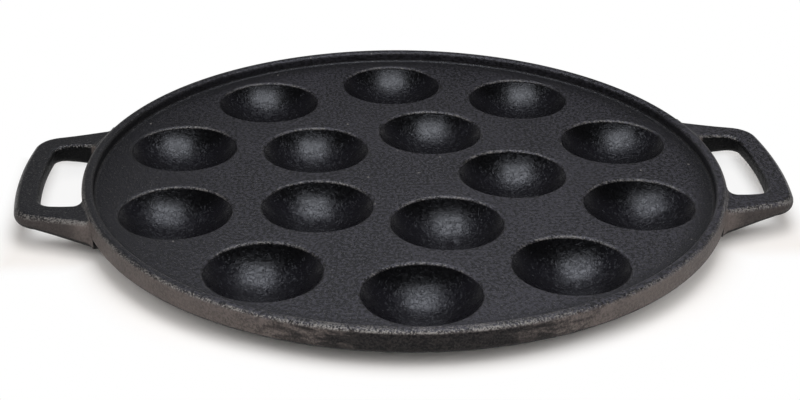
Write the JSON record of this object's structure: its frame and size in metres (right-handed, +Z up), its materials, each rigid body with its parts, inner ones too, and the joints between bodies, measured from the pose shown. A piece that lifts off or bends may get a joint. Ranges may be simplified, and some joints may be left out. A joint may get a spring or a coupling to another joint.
{
  "type": "poffertjes pan",
  "caption": "Round cast iron stovetop pan: a flat deck with two rings of shallow round wells, a low raised rim and a flat loop handle at each side.",
  "frame": {"origin": "on the surface that the pan stands on, under the middle of the pan", "axes": "+Z up; +X along the line through both handles, through the middle of one inner well; +Y across"},
  "size_m": [0.3608, 0.301, 0.0214],
  "materials": {
    "seasoned_iron": "seasoned as-cast iron, matt, with a fine sand grain and darker, slightly shinier wells"
  },
  "bodies": {
    "root": {"pan_casting": "seasoned_iron"}
  },
  "joints": []
}
